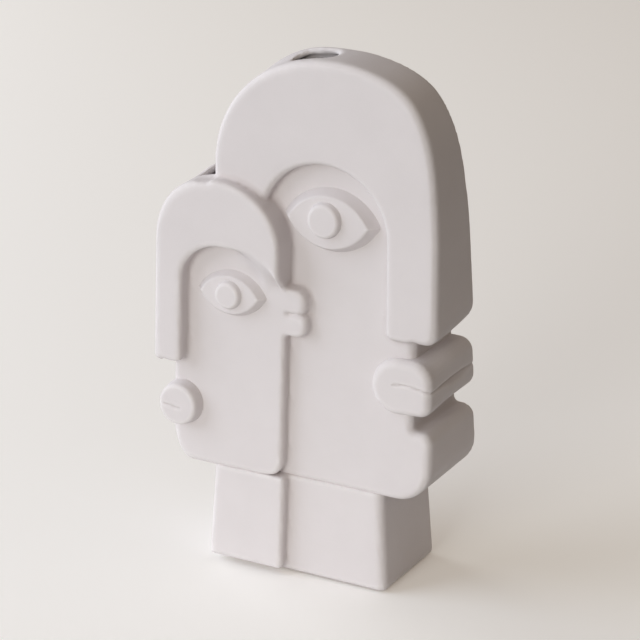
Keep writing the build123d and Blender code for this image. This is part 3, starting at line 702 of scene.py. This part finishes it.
class VaseStudio(bpy.types.PropertyGroup):
    """Floor, lamps and camera."""

    floor: bpy.props.FloatVectorProperty(
        name="Floor", description="Colour of the paper floor", default=colour("#EFEFEF"), size=4, min=0.0,
        max=1.0, subtype="COLOR",
    )
    glow: bpy.props.FloatVectorProperty(
        name="Floor glow", description="Colour of the light that the floor holds where it is seen",
        default=colour("#FFEBD6"), size=4, min=0.0, max=1.0, subtype="COLOR",
    )
    floor_glow: bpy.props.FloatProperty(
        name="Glow strength", description="Strength of that light", default=0.149, min=0.0, max=1.0,
        subtype="FACTOR",
    )
    backdrop: bpy.props.FloatVectorProperty(
        name="Backdrop", description="Colour of the room where it is seen", default=colour("#E4E0DA"),
        size=4, min=0.0, max=1.0, subtype="COLOR",
    )
    room: bpy.props.FloatVectorProperty(
        name="Room", description="Colour of the light that the room sends back", default=colour("#FFF1E0"),
        size=4, min=0.0, max=1.0, subtype="COLOR",
    )
    room_light: bpy.props.FloatProperty(
        name="Room light", description="Strength of the light that the room sends back", default=0.31,
        min=0.0, max=1.0, subtype="FACTOR",
    )
    side_lamp: bpy.props.FloatProperty(
        name="Side lamp", description="Power of the soft lamp at the left", default=19.0, min=0.0,
        unit="POWER",
    )
    broad_lamp: bpy.props.FloatProperty(
        name="Broad lamp", description="Power of the broad lamp high at the front left", default=34.2,
        min=0.0, unit="POWER",
    )
    front_lamp: bpy.props.FloatProperty(
        name="Front lamp", description="Power of the soft low lamp at the front", default=27.2, min=0.0,
        unit="POWER",
    )
    azimuth: bpy.props.FloatProperty(
        name="Azimuth", description="Camera angle round the vase", default=radians(29.0), subtype="ANGLE"
    )
    elevation: bpy.props.FloatProperty(
        name="Elevation", description="Camera angle above the table", default=radians(21.2),
        subtype="ANGLE",
    )
    distance: bpy.props.FloatProperty(
        name="Distance", description="Camera distance from its target", default=1.7, unit="LENGTH"
    )
    lens: bpy.props.FloatProperty(
        name="Lens", description="Focal length", default=172.1, min=1.0, unit="CAMERA"
    )


class VASE_OT_heads(bpy.types.Operator):
    """Both heads as one fired skin, with the steps of the brows and the two flower mouths"""

    bl_idname = "vase.heads"
    bl_label = "Heads"

    def execute(self, context):
        form = context.scene.vase_form
        low, high = edges("back_slab")
        front_y = face_at(jaw_z) - small_step - small_brow_raise
        lines, (x, y, z) = open_grid((low[0], front_y, low[2]), high, form.pitch / MM)
        points, quads = skin(heads_field(x, y, z, form), *lines)
        put(
            context, "heads", points, quads,
            [
                "back_slab", "large_face_slab", "large_brow_nose", "large_forehead_wall", "large_crown_wall",
                "large_jaw_wall", "small_face_slab", "small_head_wall", "small_brow_nose", "small_ear",
            ],
        )
        return {"FINISHED"}


LIP_PITCH = 0.8  # grid spacing of the lips' skins
LIFT = 1.2  # a line lifted this far off a surface leaves it whole


def pressed_line(body, across, depth, steep):
    """A body less a line pressed into it: a wedge, deepest where across is 0, with sides this steep."""
    turned_edge = 0.8
    return round_max(body, depth + body - steep * np.abs(across), turned_edge)


def pair_box(upper, lower):
    """Box round two solids, in millimetres."""
    (low, high), (other_low, other_high) = edges(upper), edges(lower)
    return np.minimum(low, other_low), np.maximum(high, other_high)


class VASE_OT_large_lips(bpy.types.Operator):
    """Lips of the large head: two cushions that run round the side to the back, a pressed line between"""

    bl_idname = "vase.large_lips"
    bl_label = "Large lips"

    def execute(self, context):
        form = context.scene.vase_form
        lines, (x, y, z) = open_grid(*pair_box("large_upper_lip", "large_lower_lip"), LIP_PITCH)
        tall, foot = lip_top - lip_seam, lip_foot + 1.0
        rearward = ease(face_at(lip_seam), face_at(lip_seam) + 25.0, y)
        # A half circle on the cheek and two turned corners at the side, whose radii change to the back
        front_turns, rear_turns, back_turn = (7.0, 12.5), (9.5, 7.5), 2.5
        plan = [
            path_distance(x, z, np.vstack([
                ellipse(lip_left + tall, lip_seam, tall, tall, 90, 270),
                turned([(lip_left, foot), (lip_x, foot), (lip_x, lip_top), (lip_left, lip_top)], turns),
            ]))
            for turns in (front_turns, rear_turns)
        ]
        body = plan[0] + rearward * (plan[1] - plan[0])
        body = round_max(body, before_face(y, z, lip_raise), form.lip_round / MM)
        body = round_max(body, behind_back(y, z), back_turn)
        # The line begins on the cheek, bows over the front, deepens round the side and dies out at the back
        begun = ease(lip_left + 12.0, lip_left + 15.0, x)
        ended = ease(back_y - 34.0, back_y - 12.0, y)
        front_share, side_share, lost_share = 0.5, 0.6, 0.9
        depth = form.groove / MM * (front_share * begun + side_share * rearward - lost_share * ended)
        depth = depth - LIFT * (1 - begun) * (1 - rearward)
        bow, bow_x, bow_bend, rear_lift = 2.3, lip_left + 21.5, 0.01, 0.4
        line = lip_seam + rear_lift * rearward + (bow - bow_bend * (x - bow_x) ** 2) * (1 - rearward)
        # Its lower side grows gentler towards the back
        steep, gentler = 2.0, 1.3
        body = pressed_line(body, z - line, depth, np.where(z < line, steep - gentler * rearward, steep))
        # What would lie deep inside the head is left out
        body = np.maximum(body, np.minimum(notch_x - lip_sunk - x, y - face_at(z) - lip_sunk))
        points, quads = skin(body, *lines)
        put(context, "large_lips", points, quads, ["large_upper_lip", "large_lower_lip"])
        return {"FINISHED"}


class VASE_OT_small_lips(bpy.types.Operator):
    """Round mouth of the small head: two half discs with a pressed line on their outer side"""

    bl_idname = "vase.small_lips"
    bl_label = "Small lips"

    def execute(self, context):
        form = context.scene.vase_form
        low, high = pair_box("small_upper_lip", "small_lower_lip")
        margin, moved_x, moved_z, grown, taper = 2.0, -1.2, 1.1, 1.0, 0.19
        lines, (x, y, z) = open_grid(low - margin, high + margin, LIP_PITCH)
        middle = (low[0] + high[0]) / 2 + moved_x
        radius = (high[0] - low[0]) / 2 + grown
        seam = edges("small_upper_lip")[0][2] + moved_z
        # A disc that narrows towards its flat front and runs straight to the back
        proud = before_face(y, z, small_step)
        disc = np.hypot(x - middle, z - seam) - radius + taper * np.maximum(proud, 0)
        body = round_max(disc, proud - small_lip_raise, form.small_lip_round / MM)
        body = round_max(body, behind_back(y, z), form.lip_round / MM)
        # The line falls from the left edge and fades out past the middle
        line_drop, line_fall, line_share, steep = 0.1, 0.1, 0.85, 1.2
        line = seam - line_drop - line_fall * (x - middle + radius)
        depth = line_share * form.groove / MM * ease(middle + 4.5, middle + 1.0, x) - LIFT
        body = pressed_line(body, z - line, depth, steep)
        # What would lie deep inside the head is left out
        inner = np.minimum(x - small_notch_x - lip_sunk, y - face_at(z) + small_step - lip_sunk)
        points, quads = skin(np.maximum(body, inner), *lines)
        put(context, "small_lips", points, quads, ["small_upper_lip", "small_lower_lip"])
        return {"FINISHED"}


def front_size(node):
    """Middle, half width and half height of one of the vase's solids, seen from the front."""
    low, high = edges(node)
    (middle_x, _, middle_z), (half, _, tall) = (low + high) / 2, (high - low) / 2
    return middle_x, middle_z, half, tall


def pad_edge(outer, inner, rise, shoulder):
    """Profile of a pad's edge as (outward, height): a straight slope and a shoulder turned on a circle.

    The slope runs from outer at height 0 to inner at the rise, and goes on below the face for 2 mm.
    """
    under = [(outer + (outer - inner) * sunk / rise, -sunk) for sunk in (2.0, 1.0)]
    along_top = (inner - 9.0, rise)
    return np.vstack([under, corner((outer, 0), (inner, rise), along_top, shoulder)])


def almond(half, tall, out, steps=24):
    """Almond of two equal arcs on one chord, grown outward by out: wider arcs, joined by round corners."""
    big = (half * half + tall * tall) / (2 * tall)
    lean = np.arcsin(half / big)
    sweep = np.linspace(pi / 2 - lean, pi / 2 + lean, steps, endpoint=False)
    tip = np.linspace(pi / 2 + lean, 3 * pi / 2 - lean, steps // 2, endpoint=False)
    top = np.stack([(big + out) * np.cos(sweep), (big + out) * np.sin(sweep) - (big - tall)], axis=-1)
    end = np.stack([out * np.cos(tip) - half, out * np.sin(tip)], axis=-1)
    half_ring = np.concatenate([top, end])
    return np.concatenate([half_ring, -half_ring])


def flat_topped(rings):
    """Rings of a pad with three more drawn in level on its top, so that it shades flat."""
    middle = rings[-1].mean(axis=0)
    inner = middle + (rings[-1] - middle) * np.array([0.94, 0.6, 0.25])[:, None, None]
    return rings_to_solid(np.concatenate([rings, inner]))


def eye_rise(name):
    """Thickness of an almond plate: a fixed share of its width."""
    rise_share = 0.108
    _, _, half, _ = front_size(name)
    return rise_share * 2 * half


class VASE_OT_eyes(bpy.types.Operator):
    """Almond eyes: flat plates with sloping sides and round corners, one on each face"""

    bl_idname = "vase.eyes"
    bl_label = "Eyes"

    def execute(self, context):
        # Rings of one almond, drawn in along the edge's profile, its tips faster than its arcs
        half_share, slope_share, tip_round, tip_draw, shoulder = 0.98, 0.19, 1.2, 1.5, 1.4
        for name, step in (("large_eye", 0.0), ("small_eye", small_step)):
            middle_x, middle_z, half, tall = front_size(name)
            profile = pad_edge(0.0, -slope_share * tall, eye_rise(name), shoulder)
            half, bow = half_share * half - tip_round, tall - tip_round
            rings = np.stack([
                np.insert(almond(half + tip_draw * out, bow + out, tip_round), 1, up, axis=-1)
                for out, up in profile
            ])
            x, z = rings[..., 0] + middle_x, rings[..., 2] + middle_z
            y = face_at(z) - step - rings[..., 1]
            points, faces = flat_topped(np.stack([x, y, z], axis=-1))
            put(context, name + "_skin", points, faces, [name])
        return {"FINISHED"}


class VASE_OT_irises(bpy.types.Operator):
    """Round irises: buttons with a broad soft edge and a flat top, one on each eye"""

    bl_idname = "vase.irises"
    bl_label = "Irises"

    def execute(self, context):
        # Circles stacked along the edge's profile
        turn = np.linspace(0, 2 * pi, 72, endpoint=False)
        spread_foot, drawn_in, shoulder = 0.3, 1.0, 2.2
        for name, rise, step in (
            ("large_iris", 3.5, eye_rise("large_eye")),
            ("small_iris", 3.0, small_step + eye_rise("small_eye")),
        ):
            middle_x, middle_z, radius, _ = front_size(name)
            profile = pad_edge(spread_foot, -drawn_in, rise, shoulder) + [radius, 0]
            x = middle_x + profile[:, :1] * np.cos(turn)
            z = middle_z + profile[:, :1] * np.sin(turn)
            y = face_at(z) - step - profile[:, 1:]
            points, faces = flat_topped(np.stack([x, y, z], axis=-1))
            put(context, name + "_skin", points, faces, [name])
        return {"FINISHED"}


class VASE_OT_neck(bpy.types.Operator):
    """Flared neck tube with the proud neck of the small head, and the floor inside it"""

    bl_idname = "vase.neck"
    bl_label = "Neck"

    def execute(self, context):
        form = context.scene.vase_form
        low, high = edges("neck_wall")
        proud_low = edges("small_neck_slab")[0]
        foot_top = edges("foot_slab")[1][2]
        lines, (x, y, z) = open_grid(
            (low[0], proud_low[1], 0.0), (high[0], high[1], jaw_z + 2.0), form.pitch / MM
        )
        # Four sides, three of which spread evenly from the jaw to the foot
        left_flare, right_flare, front_flare = 2.2, 4.6, 4.0
        upright_edge, foot_edge, inner_edge, floor_edge = 4.8, 2.5, 3.0, 1.5
        drop = (jaw_z - z) / (jaw_z - low[2])
        left = low[0] + left_flare - left_flare * drop - x
        right = x - (high[0] - right_flare + right_flare * drop)
        front = low[1] + front_flare - front_flare * drop - y
        rear = y - high[1]
        tube = round_max(left, right, upright_edge)
        tube = round_max(tube, round_max(front, rear, upright_edge), upright_edge)
        tube = round_max(tube, low[2] - z, foot_edge)
        # The small head's neck stands a step proud of the tube, as far as that head's right side
        proud_left, proud_right, proud_back, past_right, hollow_corner = 3.0, 2.2, 20.0, 1.6, 1.0
        proud = round_max(left, front - small_step, proud_left)
        proud = round_max(proud, x - small_right - past_right, proud_right)
        proud = round_max(np.maximum(proud, y - proud_back), proud_low[2] - z, foot_edge)
        # The tube goes on a little way into the jaw
        into_jaw = 1.5
        outer = np.maximum(round_min(tube, proud, hollow_corner), z - jaw_z - into_jaw)
        inner = round_max(np.maximum(left, right) + wall, np.maximum(front, rear) + wall, inner_edge)
        foot = np.maximum(round_max(inner, -z, floor_edge), z - foot_top)
        points, quads = skin(np.minimum(np.maximum(outer, -inner), foot), *lines)
        put(context, "neck", points, quads, ["neck_wall", "small_neck_slab", "foot_slab"])
        return {"FINISHED"}


def look_from(thing, azimuth, elevation, distance, target):
    """Place a lamp or camera at two angles and a distance from a target, and turn its -Z axis to it."""
    back = np.array([sin(azimuth) * cos(elevation), -cos(azimuth) * cos(elevation), sin(elevation)])
    thing.location = np.array(target) + back * distance
    thing.rotation_euler = Vector(-back).to_track_quat("-Z", "Y").to_euler()


def seen_rays(tree):
    """1 for a camera, mirrored or refracted ray, 0 for light on its way to a matte surface."""
    path = add_node(tree, "ShaderNodeLightPath").outputs
    seen = path["Is Camera Ray"]
    for kind in ("Is Glossy Ray", "Is Transmission Ray"):
        links = {0: seen, 1: path[kind]}
        seen = add_node(tree, "ShaderNodeMath", links=links, operation="MAXIMUM").outputs[0]
    return seen


def matte_paper(studio):
    """Uncoated paper from a roll, as photographers use it.

    To the eye it is an even pale ground without gloss. It holds a little light where it is seen or mirrored,
    and the light that it throws on the vase fades beyond the lamps' reach.
    """
    made = bpy.data.materials.new("matte paper floor")
    tree = bare_tree(made)
    seen = seen_rays(tree)
    away = add_node(
        tree, "ShaderNodeVectorMath", links={0: add_node(tree, "ShaderNodeTexCoord").outputs["Object"]},
        operation="LENGTH",
    )
    reach = add_node(
        tree, "ShaderNodeMapRange", {"From Min": 0.13, "From Max": 0.6, "To Min": 1.0, "To Max": 0.15},
        {"Value": away.outputs["Value"]}, interpolation_type="SMOOTHSTEP",
    )
    kept = add_node(
        tree, "ShaderNodeMath", links={0: seen, 1: reach.outputs["Result"]}, operation="MAXIMUM"
    )
    dark = colour("#000000")
    tone = add_node(
        tree, "ShaderNodeMix", {6: dark, 7: studio.floor}, {0: kept.outputs[0]}, data_type="RGBA"
    )
    glow = add_node(tree, "ShaderNodeMath", {1: studio.floor_glow}, {0: seen}, operation="MULTIPLY")
    shader = add_node(
        tree, "ShaderNodeBsdfPrincipled",
        {"Roughness": 0.95, "Specular IOR Level": 0.1, "Emission Color": studio.glow},
        {"Base Color": tone.outputs[2], "Emission Strength": glow.outputs[0]},
    )
    add_node(tree, "ShaderNodeOutputMaterial", links={"Surface": shader.outputs["BSDF"]})
    return made


def pale_room(studio):
    """Room round the vase: pale where it is seen or mirrored, and dim as a light."""
    made = bpy.data.worlds.new("room")
    tree = bare_tree(made)
    dim = add_node(tree, "ShaderNodeBackground", {"Color": studio.room, "Strength": studio.room_light})
    pale = add_node(tree, "ShaderNodeBackground", {"Color": studio.backdrop, "Strength": 1.0})
    mixed = add_node(
        tree, "ShaderNodeMixShader",
        links={0: seen_rays(tree), 1: dim.outputs["Background"], 2: pale.outputs["Background"]},
    )
    add_node(tree, "ShaderNodeOutputWorld", links={"Surface": mixed.outputs["Shader"]})
    return made


# The stage, in metres
FLOOR_HALF = 6.0
LAMP_DISTANCE, LAMP_TARGET = 2.3, (0.0, 0.0, 0.15)
CAMERA_TARGET = (0.00132, 0.00061, 0.1439)
SENSOR_WIDTH = 36.0  # in millimetres, as lenses are


class VASE_OT_studio(bpy.types.Operator):
    """Pale paper floor, three soft lamps from the left and the front, warm room light, and the camera"""

    bl_idname = "vase.studio"
    bl_label = "Studio"

    def execute(self, context):
        studio = context.scene.vase_studio
        mesh = bpy.data.meshes.new("floor")
        square = [(u * FLOOR_HALF, v * FLOOR_HALF, 0) for u, v in ((-1, -1), (1, -1), (1, 1), (-1, 1))]
        mesh.from_pydata(square, [], [(0, 1, 2, 3)])
        floor = bpy.data.objects.new("floor", mesh)
        floor.data.materials.append(matte_paper(studio))
        context.collection.objects.link(floor)
        context.scene.world = pale_room(studio)

        for name, watts, hex_code, azimuth, elevation, size in (
            ("side lamp", studio.side_lamp, "#F8FDFF", -105.0, 10.0, 1.2),
            ("broad lamp", studio.broad_lamp, "#E5F0FF", -60.0, 28.0, 2.2),
            ("front lamp", studio.front_lamp, "#FDFFFD", 0.0, 10.0, 1.2),
        ):
            lamp = bpy.data.lights.new(name, "AREA")
            lamp.shape = "DISK"
            lamp.size = size
            lamp.energy = watts
            lamp.color = colour(hex_code)[:3]
            stand = bpy.data.objects.new(name, lamp)
            stand.visible_camera = False
            look_from(stand, radians(azimuth), radians(elevation), LAMP_DISTANCE, LAMP_TARGET)
            context.collection.objects.link(stand)

        camera = bpy.data.cameras.new("camera")
        camera.lens = studio.lens
        camera.sensor_width = SENSOR_WIDTH
        eye = bpy.data.objects.new("camera", camera)
        look_from(eye, studio.azimuth, studio.elevation, studio.distance, CAMERA_TARGET)
        context.collection.objects.link(eye)
        context.scene.camera = eye
        context.scene.view_settings.view_transform = "Standard"
        return {"FINISHED"}


class VASE_PT_panel(bpy.types.Panel):
    """Vase pieces and settings"""

    bl_idname = "VASE_PT_panel"
    bl_label = "Two-face vase"
    bl_space_type = "VIEW_3D"
    bl_region_type = "UI"
    bl_category = "Vase"

    def draw(self, context):
        """A box for each group of settings, then a button for each operator."""
        scene = context.scene
        for group in (scene.vase_form, scene.vase_clay, scene.vase_studio):
            box = self.layout.box()
            for name in group.__annotations__:
                box.prop(group, name)
        for piece in PIECES:
            self.layout.operator(piece.bl_idname)


PIECES = (
    VASE_OT_heads, VASE_OT_eyes, VASE_OT_irises, VASE_OT_large_lips, VASE_OT_small_lips,
    VASE_OT_neck, VASE_OT_studio,
)
GROUPS = (VaseForm, VaseClay, VaseStudio)


def register():
    """Make the classes and their settings known to Blender."""
    for made in (*GROUPS, *PIECES, VASE_PT_panel):
        bpy.utils.register_class(made)
    bpy.types.Scene.vase_form = bpy.props.PointerProperty(type=VaseForm)
    bpy.types.Scene.vase_clay = bpy.props.PointerProperty(type=VaseClay)
    bpy.types.Scene.vase_studio = bpy.props.PointerProperty(type=VaseStudio)


def unregister():
    """Take them out again, last first."""
    del bpy.types.Scene.vase_studio, bpy.types.Scene.vase_clay, bpy.types.Scene.vase_form
    for made in reversed((*GROUPS, *PIECES, VASE_PT_panel)):
        bpy.utils.unregister_class(made)


def main():
    """Build the vase and its studio."""
    register()
    bpy.ops.vase.heads()
    bpy.ops.vase.eyes()
    bpy.ops.vase.irises()
    bpy.ops.vase.large_lips()
    bpy.ops.vase.small_lips()
    bpy.ops.vase.neck()
    bpy.ops.vase.studio()


if __name__ == "__main__":
    main()
